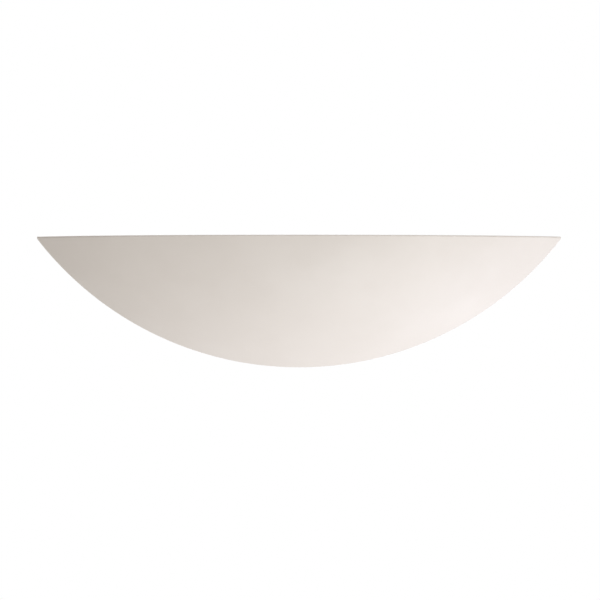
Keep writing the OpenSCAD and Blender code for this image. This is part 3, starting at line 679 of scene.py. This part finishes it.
def shadeMesh(form):
    places = sectionPlaces(form)
    loops = [shadeSection(form, *place) for place in places]
    arris = form.shape["tipArris"]
    for a in np.radians([22.5, 45, 67.5, 90]):    # the blunt end's rounded edge
        x = shadeHigh.x - arris + arris * math.sin(a)
        end = shadeSection(form, x, True, 0)
        middle = sum(end) / len(end)
        places.append((x, True, 0))
        loops.append([p + unit(middle - p) * arris * (1 - math.cos(a)) for p in end])
    count = len(loops[0])
    vertices, faces = [], []
    for side in (1, -1):
        base = len(vertices)
        for (x, _, _), loop in zip(places, loops):
            vertices += [(side * x, y, z) for y, z in loop]
        for i in range(len(loops) - 1):
            for j in range(count):
                a, b = base + i * count + j, base + i * count + (j + 1) % count
                quad = (a, b, b + count, a + count)
                faces.append(quad if side > 0 else quad[::-1])
        last = base + (len(loops) - 1) * count
        cap = tuple(range(last, last + count))
        faces.append(cap if side > 0 else cap[::-1])
    return vertices, faces


def workInside(work, form):  # marks the inside for the finish, and gives the hollow its handwork
    shape = form.shape
    inside = work.verts.layers.float.new("inside")
    for v in work.verts:
        r = math.hypot(v.co.x, form.axisZ - v.co.z)
        skin = math.hypot(r - form.centre.x, -v.co.y - form.centre.y)
        below = limited((form.outer - skin - shape["rimOuterArris"]) / shape["insideFade"])
        top = limited((v.co.z - form.rim) / shape["insideFade"] + 1)
        v[inside] = below * (1 - 0.75 * top)
        hollowSide = v.co.y < -1 * mm and v.co.z < form.rim - 3 * mm
        if hollowSide and abs(skin - form.inner) < 0.01 * mm:
            wave = noise.noise(v.co / shape["longWave"]) + 0.5 * noise.noise(v.co / shape["shortWave"])
            v.co += v.normal * wave * shape["handwork"] * min(1, -v.co.y / shape["handworkFade"])


def makeShade(shape):
    form = ShadeForm(shape)
    vertices, faces = shadeMesh(form)
    mesh = bpy.data.meshes.new("plasterShade")
    work = bmesh.new()
    points = [work.verts.new(v) for v in vertices]
    for face in faces:
        work.faces.new([points[i] for i in face])
    bmesh.ops.remove_doubles(work, verts=work.verts, dist=2e-6)
    bmesh.ops.dissolve_degenerate(work, edges=work.edges, dist=1e-6)
    bmesh.ops.recalc_face_normals(work, faces=work.faces)
    workInside(work, form)
    work.to_mesh(mesh)
    work.free()
    return addRigid("plaster_shade", mesh, "shade")


shade = makeShade(shadeShape)
print("shade made:", len(shade.data.vertices), "vertices")

leadLook = {
    "radius": 1.3 * mm,
    "sides": 16,
    "step": 0.8 * mm,
    "lay": 60,                # turn of the earth's stripes, in radians per metre
    "striped": "earth_lead",
    "stripeSides": 3,         # yellow ones, of every 8
}

# the CAD's routes: x, y and z in mm, and straight in their first and last stretches
earthRing = np.array([-44.0, -4.2, -28.0])
earthLean = np.array([math.sin(math.radians(40)), 0, math.cos(math.radians(40))])
leadRoutes = {
    "live_lead": [(56, -8.5, -21.5), (56, -8.5, -15.5), (59, -9.5, -8), (67.7, -9.5, -0.8),
                  (73.7, -11.5, 9), (73.7, -22, 12), (73.7, -29.5, 12)],
    "neutral_lead": [(46, -8.5, -21.5), (46, -8.5, -17.5), (39, -9.5, -12), (0, -11.5, -12),
                     (-34, -10.5, -12), (-63.7, -8.5, -5.8), (-73.7, -11.5, 9), (-73.7, -22, 12),
                     (-73.7, -29.5, 12)],
    "earth_lead": [(36, -8.5, -21.5), (36, -8.5, -19.5), (28, -13.5, -17), (0, -15.5, -17),
                   (-22, -11.5, -17), earthRing + 14 * earthLean, earthRing + 7 * earthLean],
}


def curveThrough(route, step):  # straight, then smooth through the points, then straight again
    points = np.array(route) * mm
    inner = points[1:-1]
    path = [points[0] + (inner[0] - points[0]) * s for s in np.linspace(0, 1, 6)[:-1]]
    for a, b, c, d in zip(points, points[1:], points[2:], points[3:]):
        count = max(3, int(np.linalg.norm(c - b) / step))
        for s in np.linspace(0, 1, count, endpoint=False):
            path.append(0.5 * (2 * b + (c - a) * s + (2 * a - 5 * b + 4 * c - d) * s * s
                               + (3 * b - a - 3 * c + d) * s ** 3))
    path += [inner[-1] + (points[-1] - inner[-1]) * s for s in np.linspace(0, 1, 6)]
    return path


def addStripes(piece, look):  # two yellow stripes, on the sides and not on the caps
    piece.data.materials.append(yellowStripe)
    for face in piece.data.polygons:
        around = face.index % look["sides"] % 8
        face.material_index = int(len(face.vertices) == 4 and around < look["stripeSides"])


def makeLeads(look):
    for node, route in leadRoutes.items():
        striped = node == look["striped"]
        path = curveThrough(route, look["step"])
        skin = sweep(path, look["radius"], look["sides"], look["lay"] if striped else 0)
        piece = addRigid(node + "_sleeve", skinMesh(node, [skin]), node)
        if striped:
            addStripes(piece, look)


makeLeads(leadLook)
print("leads made")

filamentLow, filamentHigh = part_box("lamp_filament")
lampAxis = (filamentLow + filamentHigh) / 2


def aboutLamp(x, radius, angle):  # a point round the lamp's axis
    return (x, lampAxis.y + radius * math.cos(angle), lampAxis.z + radius * math.sin(angle))


coilSpringLook = {
    "wire": 0.3 * mm,         # radius
    "coil": 2.25 * mm,
    "turns": 6.5,
    "closed": 0.9,            # turns that lie together at each end
    "inner": 69.85 * mm,      # from the middle of the lamp
    "outer": 75.95 * mm,
    "steps": 26,              # per turn
}


def springPath(look, side):
    count = int(look["turns"] * look["steps"])
    openLength = look["outer"] - look["inner"] - 4 * look["wire"] * look["closed"]
    pitch = openLength / (look["turns"] - 2 * look["closed"])
    path, x = [], look["inner"]
    for i in range(count + 1):
        turn = i / look["steps"]
        path.append(aboutLamp(side * x, look["coil"], 2 * math.pi * turn))
        ended = turn < look["closed"] or turn > look["turns"] - look["closed"]
        x += (2 * look["wire"] if ended else pitch) / look["steps"]
    return path


def makeSpring(name, side, look):
    node = "contact_spring_" + name
    mesh = skinMesh(node, [sweep(springPath(look, side), look["wire"], 10)])
    piece = addPiece("coiled_spring_" + name, mesh, node)
    piece.data.shade_smooth()
    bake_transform(piece)


contactPinLook = {
    "pin": 1.5 * mm,          # radii
    "collar": 2.75 * mm,
    "tail": 1.2 * mm,
    "collarLength": 1.2 * mm,
    "tailLength": 3 * mm,
    "arris": 0.15 * mm,
    "sides": 40,
}


def makeContactPin(name, side, look):  # a domed pin, its collar, and the tail that guides the spring
    node = "contact_" + name
    low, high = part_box(node)
    tip, end = sorted((side * low.x, side * high.x))
    back = end - look["tailLength"]
    front = back - look["collarLength"]
    pin, collar, tail, arris = look["pin"], look["collar"], look["tail"], look["arris"]
    rows = [(tip + pin * (1 - math.cos(a)), pin * math.sin(a)) for a in np.radians(np.linspace(5, 90, 11))]
    rows += [(front, pin), (front, collar - arris), (front + arris, collar), (back - arris, collar),
             (back, collar - arris), (back, tail), (end - arris, tail), (end, tail - arris)]
    loops = [[aboutLamp(side * x, r, a) for a in allRound(look["sides"])] for x, r in rows]
    addRigid("sprung_contact_" + name, skinMesh(node, [loft(loops)]), node, 40)


makeSpring("left", -1, coilSpringLook)
makeSpring("right", 1, coilSpringLook)
makeContactPin("left", -1, contactPinLook)
makeContactPin("right", 1, contactPinLook)
print("springs and contacts made")

filamentLook = {
    "wire": 0.1 * mm,         # radius
    "coil": 0.44 * mm,
    "pitch": 0.5 * mm,
    "steps": 10,              # per turn
}


def makeFilament(look):
    half = filamentHigh.x
    count = int(2 * half / look["pitch"] * look["steps"])
    path = [aboutLamp(-half + 2 * half * i / count, look["coil"], 2 * math.pi * i / look["steps"])
            for i in range(count + 1)]
    mesh = skinMesh("filament", [sweep(path, look["wire"], 5)])
    piece = addPiece("coiled_filament", mesh, "lamp_filament")
    piece.data.shade_smooth()
    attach(piece, bodyOf["lamp_filament"])


supportLook = {
    "wire": 0.14 * mm,
    "grip": 0.68 * mm,        # the small ring round the filament
    "ring": 3.72 * mm,        # the large ring against the quartz
    "gripTurn": 330,          # degrees of each, with the spoke in the large ring's first ones
    "ringTurn": 410,
    "spokeTurn": 62,
    "step": 8,
    "spacing": 15.72 * mm,
    "count": 5,
}


def makeSupports(look):  # each is one wire: a turn round the filament, a spoke, and a ring inside the tube
    skins = []
    for i in range(look["count"]):
        x = (i - (look["count"] - 1) / 2) * look["spacing"]
        path = []
        for turn in range(-look["gripTurn"], look["ringTurn"], look["step"]):
            reach = look["grip"] + (look["ring"] - look["grip"]) * eased(turn / look["spokeTurn"])
            path.append(aboutLamp(x, reach, math.radians(turn) + i))
        skins.append(sweep(path, look["wire"], 7))
    piece = addPiece("wire_supports", skinMesh("supports", skins), "filament_supports")
    piece.data.shade_smooth()
    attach(piece, bodyOf["filament_supports"])


leadWireLook = {
    "wire": 0.32 * mm,
    "start": 38.8 * mm,
    "foilStart": 46.0 * mm,
    "foilEnd": 51.6 * mm,
    "foilWidth": 2.3 * mm,
    "foilThick": 0.07 * mm,
    "foilRound": 0.9 * mm,    # at its ends
    "overlap": 0.8 * mm,      # of wire and foil
    "end": 55.4 * mm,
}


def foilLoops(look, side):  # a leaf with feathered edges and rounded ends
    thick = look["foilThick"] / 2
    loops = []
    for x in np.linspace(look["foilStart"], look["foilEnd"], 17):
        near = limited(min(x - look["foilStart"], look["foilEnd"] - x) / look["foilRound"])
        wide = look["foilWidth"] / 2 * (0.25 + 0.75 * math.sqrt(1 - (1 - near) ** 2))
        edge = [(wide, 0), (wide / 2, thick), (-wide / 2, thick), (-wide, 0), (-wide / 2, -thick),
                (wide / 2, -thick)]
        loops.append([(side * x, lampAxis.y + a, lampAxis.z + b) for a, b in edge])
    return loops


def makeLeadWires(look):  # wire, sealing foil and wire again, at each end
    stretches = ((look["start"], look["foilStart"] + look["overlap"]),
                 (look["foilEnd"] - look["overlap"], look["end"]))
    skins = []
    for side in (-1, 1):
        for start, end in stretches:
            path = [(side * x, lampAxis.y, lampAxis.z) for x in np.linspace(start, end, 5)]
            skins.append(sweep(path, look["wire"], 12))
        skins.append(loft(foilLoops(look, side)))
    addRigid("seal_wires", skinMesh("sealWires", skins), "lamp_lead_wires")


envelopeLook = {
    "radius": 5 * mm,
    "bore": 4 * mm,
    "boreStraight": 40.7 * mm,  # the domed end of the bore starts here
    "boreEnd": 43.4 * mm,
    "tubeEnd": 41.3 * mm,
    "pinchStart": 44.6 * mm,
    "pinchEnd": 53.3 * mm,
    "pinchWidth": 5.6 * mm,
    "pinchThick": 2.6 * mm,
    "pinchSquareness": 1.6,
    "nub": 1.5 * mm,            # the sealed exhaust stem on top
    "nubWidth": 0.75 * mm,
    "nubReach": 2.4 * mm,
    "sides": 56,
}


def squircle(look, x, wide, tall, power=2, lift=0.0):  # a rounded section across the lamp
    loop = []
    for angle in allRound(look["sides"]):
        c, s = math.cos(angle), math.sin(angle)
        reach = (abs(c) ** power + abs(s) ** power) ** (-1 / power)
        nub = lift * math.exp(-((angle - math.pi / 2) * wide / look["nubWidth"]) ** 2)
        loop.append((x, lampAxis.y + wide * c * reach, lampAxis.z + (tall * reach + nub) * s))
    return loop


def glassOutside(look):  # round, then pinched flat at both ends, with the nub in the middle
    reach, tube, pinch, end = look["nubReach"], look["tubeEnd"], look["pinchStart"], look["pinchEnd"]
    half = np.concatenate([np.linspace(0, reach, 9), np.linspace(reach + 0.4 * mm, tube, 24),
                           np.linspace(tube + 0.2 * mm, pinch, 14),
                           np.linspace(pinch + 0.8 * mm, end - 0.3 * mm, 8), [end]])
    loops = []
    for x in np.concatenate([-half[:0:-1], half]):
        flat = eased((abs(x) - tube) / (pinch - tube))
        wide = look["radius"] + (look["pinchWidth"] / 2 - look["radius"]) * flat
        tall = look["radius"] + (look["pinchThick"] / 2 - look["radius"]) * flat
        lift = look["nub"] * math.exp(-(x / look["nubWidth"]) ** 2) if flat == 0 else 0
        loops.append(squircle(look, x, wide, tall, 2 + look["pinchSquareness"] * flat, lift))
    return loops


def glassBore(look):  # a straight bore with domed ends
    start, bore = look["boreStraight"], look["bore"]
    loops = [squircle(look, x, bore, bore) for x in np.linspace(-start, start, 24)]
    for s in np.sin(np.radians(np.linspace(12, 84, 8))):
        x = start + (look["boreEnd"] - start) * s
        small = bore * math.sqrt(1 - s * s)
        loops.append(squircle(look, x, small, small))
        loops.insert(0, squircle(look, -x, small, small))
    return loops


def makeEnvelope(look):
    mesh = skinMesh("envelope", [loft(glassOutside(look))], [loft(glassBore(look))])
    addRigid("quartz_envelope", mesh, "lamp_envelope")


makeFilament(filamentLook)
makeSupports(supportLook)
makeLeadWires(leadWireLook)
makeEnvelope(envelopeLook)
print("lamp made")

threadLook = {
    "rows": 8,                # per turn
    "sides": 40,
    "crest": 0.14,            # shares of the pitch
    "root": 0.16,
    "sunk": 0.02 * mm,        # of the head below the sheet's back, and the head's arris
    "arris": 0.1 * mm,
}
hangStudLook = {"radius": 2.5 * mm, "pitch": 0.8 * mm, "depth": 0.46 * mm, "headRadius": 3.5 * mm,
                "head": 0.8 * mm, "shank": 1.9 * mm, "chamfer": 0.8 * mm}
earthStudLook = {"radius": 2 * mm, "pitch": 0.7 * mm, "depth": 0.4 * mm, "headRadius": 3.0 * mm,
                 "head": 0.8 * mm, "shank": 1.7 * mm, "chamfer": 0.7 * mm}


def makeStud(name, node, look, thread):  # a clinch head in the sheet, a shank, and a rolled thread
    low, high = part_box(node)
    length, radius, head = -low.y, look["radius"], look["headRadius"]
    middle = (low + high) / 2
    flank = 1 - thread["root"] - thread["crest"]
    rise = look["pitch"] / thread["rows"]
    rows = [(thread["sunk"], head - thread["arris"]), (thread["arris"], head), (look["head"], head),
            (look["head"], radius), (look["shank"], radius)]
    for depth in np.arange(look["shank"] + rise, length - rise / 4, rise):
        phase = np.mod(depth / look["pitch"] - allRound(thread["sides"]) / (2 * math.pi), 1)
        tooth = np.clip((abs(2 * phase - 1) - thread["root"]) / flank, 0, 1)
        begun = min(1, (depth - look["shank"]) / look["pitch"])
        cut = radius - look["depth"] * (1 - tooth) * begun
        rows.append((depth, np.minimum(cut, radius - look["chamfer"] + length - depth)))
    rows.append((length, radius - look["chamfer"] - 0.05 * mm))
    addRigid(name, skinMesh(node, [turned(rows, thread["sides"], middle.x, middle.z)]), node, 50)


makeStud("threaded_stud_left", "hang_stud_left", hangStudLook, threadLook)
makeStud("threaded_stud_right", "hang_stud_right", hangStudLook, threadLook)
makeStud("threaded_earth_stud", "earth_stud", earthStudLook, threadLook)
print("studs made")

thumbNutLook = {
    "radius": 8 * mm,
    "bore": 2.55 * mm,
    "collar": 1.5 * mm,
    "collarRadius": 5.2 * mm,
    "teeth": 30,
    "toothDepth": 0.5 * mm,
    "toothPoints": 8,
    "toothPower": 1.4,        # above 1 it gives rounded crests and narrow grooves
    "arris": 0.5 * mm,
    "smallArris": 0.15 * mm,
    "dish": 4.6 * mm,         # radii of the turned recess in the end face
    "dishFloor": 3.1 * mm,
    "dishDepth": 0.25 * mm,
    "mouth": 0.3 * mm,        # the bore's chamfer
}


def makeThumbNut(name, look):
    node = "thumb_nut_" + name
    low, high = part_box(node)
    start, end = -high.y, -low.y
    face = start + look["collar"]
    sides = look["teeth"] * look["toothPoints"]
    wave = np.cos(look["teeth"] * allRound(sides))
    knurl = look["radius"] - look["toothDepth"] * np.power(0.5 - 0.5 * wave, look["toothPower"])
    bore, collar, edge, small = look["bore"], look["collarRadius"], look["arris"], look["smallArris"]
    root, dish = look["radius"] - look["toothDepth"] - edge, look["dishDepth"]
    rounded = [(edge * s, np.minimum(knurl, root + 2 * edge * s)) for s in (0.35, 0.75, 1.0)]
    rows = [(start, bore + look["mouth"]), (start, collar - small), (start + small, collar), (face, collar),
            (face, root)]
    rows += [(face + depth, radius) for depth, radius in rounded]
    rows += [(face + (end - face) * s, knurl) for s in (0.3, 0.5, 0.7)]
    rows += [(end - depth, radius) for depth, radius in rounded[::-1]]
    rows += [(end, root), (end, look["dish"]), (end - dish, look["dish"] - dish),
             (end - dish, look["dishFloor"]), (end - dish - edge, bore), (start + look["mouth"], bore)]
    mesh = skinMesh(node, [turned(rows, sides, (low.x + high.x) / 2, (low.z + high.z) / 2, closed=True)])
    addRigid("knurled_nut_" + name, mesh, node, 38)


makeThumbNut("left", thumbNutLook)
makeThumbNut("right", thumbNutLook)
print("thumb nuts made")

# softened edges on the CAD's own meshes, by node, in mm
arrisOf = {
    "wall_plate": 0.3, "lamp_tray": 0.25, "support_bracket": 0.25, "support_screws": 0.1, "reflector": 0.1,
    "hanger_plate_left": 0.2, "hanger_plate_right": 0.2, "hanger_screws": 0.08, "clamp_washer_left": 0.15,
    "clamp_washer_right": 0.15, "lampholder_left": 0.45, "lampholder_right": 0.45, "holder_screws": 0.08,
    "holder_nuts": 0.12, "lamp_base_left": 0.3, "lamp_base_right": 0.3, "cable_grommet": 0.5,
    "terminal_block": 0.3, "terminal_clamps": 0.1, "terminal_screws": 0.08, "terminal_mount_screws": 0.08,
    "earth_ring": 0.12, "earth_nut": 0.15,
}


def finishNodes():
    for name, node in frame["nodes"].items():
        node.data.materials.clear()
        node.data.materials.append(finishes[slotOf[name]])
        if name in arrisOf:
            arris = node.modifiers.new("arris", "BEVEL")
            arris.width = arrisOf[name] * mm
            arris.segments = 2
            arris.limit_method = "ANGLE"
            arris.angle_limit = math.radians(35)
            arris.harden_normals = True


finishNodes()
print("nodes finished")

# where each lamp hangs, its reach and size in metres, and its level, at which 1 shows a colour as written
studioLook = {
    "key": {"azimuth": 50, "elevation": -50, "reach": 2.4, "size": 1.1, "level": 0.33,
            "tint": (0.975, 1, 0.985)},
    "side": {"azimuth": 110, "elevation": -50, "reach": 2.4, "size": 1.1, "level": 0.241,
             "tint": (0.96, 1, 1.22)},
    "low": {"azimuth": 20, "elevation": -60, "reach": 2.4, "size": 1.1, "level": 0.199,
            "tint": (0.965, 1, 1.06)},
    "top": {"azimuth": 48, "elevation": 58, "reach": 2.2, "size": 2.0, "level": 0.37,
            "tint": (0.95, 1, 1.05)},
    "back": {"azimuth": 205, "elevation": 25, "reach": 2.4, "size": 2.6, "level": 0.38, "tint": (1, 1, 1)},
}
studioTarget = Vector((0, -0.05, -0.02))  # near the middle of the shade


def directionOf(azimuth, elevation):
    a, e = math.radians(azimuth), math.radians(elevation)
    return Vector((math.sin(a) * math.cos(e), -math.cos(a) * math.cos(e), math.sin(e)))


def addLamp(name, look, target):
    data = bpy.data.lights.new(name, "AREA")
    data.shape = "DISK"
    data.size = look["size"]
    data.color = look["tint"]
    data.energy = look["level"] * math.pi ** 2 * look["reach"] ** 2
    lamp = bpy.data.objects.new(name, data)
    away = directionOf(look["azimuth"], look["elevation"])
    lamp.location = target + away * look["reach"]
    lamp.rotation_euler = away.to_track_quat("Z", "Y").to_euler()
    bpy.context.scene.collection.objects.link(lamp)


for name, look in studioLook.items():
    addLamp(name + "Lamp", look, studioTarget)

worldLook = {"ambient": (0.422, 0.402, 0.381), "white": (1, 1, 1)}


def makeWorld(look):  # seen directly, in gloss and through glass it is white; otherwise it is a soft fill
    world = bpy.data.worlds.new("studioWorld")
    world.use_nodes = True
    world.node_tree.nodes.clear()
    wire = Wire(world.node_tree)
    ray = wire.add("LightPath")
    direct = wire.maths("MAXIMUM", ray.other("Is Camera Ray"), ray.other("Is Glossy Ray"))
    seen = wire.maths("MAXIMUM", direct, ray.other("Is Transmission Ray"))
    white = wire.add("Background", None, {"Color": look["white"], "Strength": 1.0})
    ambient = wire.add("Background", None, {"Color": look["ambient"], "Strength": 1.0})
    both = wire.add("MixShader", None, {0: seen, 1: ambient, 2: white})
    wire.add("OutputWorld", None, {"Surface": both})
    bpy.context.scene.world = world


makeWorld(worldLook)

floorLook = {
    "height": -0.6,
    "radius": 1.6,
    "fadeFrom": 0.35,         # shares of the radius
    "fadeTo": 0.98,
    "colour": (0.90, 0.895, 0.885),
    "roughness": 0.7,
}


def floorFinish(look):  # it fades out before its edge and isn't seen from below
    finish, wire, place = startFinish("pale floor")
    feedShader(finish, {
        "Base Color": look["colour"],
        "Roughness": look["roughness"],
        "Specular IOR Level": 0.1,
    })
    tree = finish.node_tree
    far = wire.add("VectorMath", {"operation": "LENGTH"}, {0: place}, out="Value")
    fade = between(wire, far, look["radius"] * look["fadeFrom"], look["radius"] * look["fadeTo"])
    unseen = wire.maths("MAXIMUM", fade, wire.add("NewGeometry", out="Backfacing"))
    pale = Wire(tree, tree.nodes["Principled BSDF"].outputs["BSDF"])
    both = wire.add("MixShader", None, {0: unseen, 1: pale, 2: wire.add("BsdfTransparent")})
    setSockets(tree, tree.nodes["Material Output"], {"Surface": both})
    return finish


def makeFloor(look):  # it takes no part in the light on the object
    ring = [(look["radius"] * math.cos(a), look["radius"] * math.sin(a), 0) for a in allRound(96)]
    mesh = bpy.data.meshes.new("floor")
    mesh.from_pydata(ring, [], [tuple(range(len(ring)))])
    mesh.materials.append(floorFinish(look))
    floor = bpy.data.objects.new("floor", mesh)
    floor.location = (0, 0, look["height"])
    floor.visible_diffuse = False
    floor.visible_shadow = False
    bpy.context.scene.collection.objects.link(floor)


makeFloor(floorLook)
print("stage made")
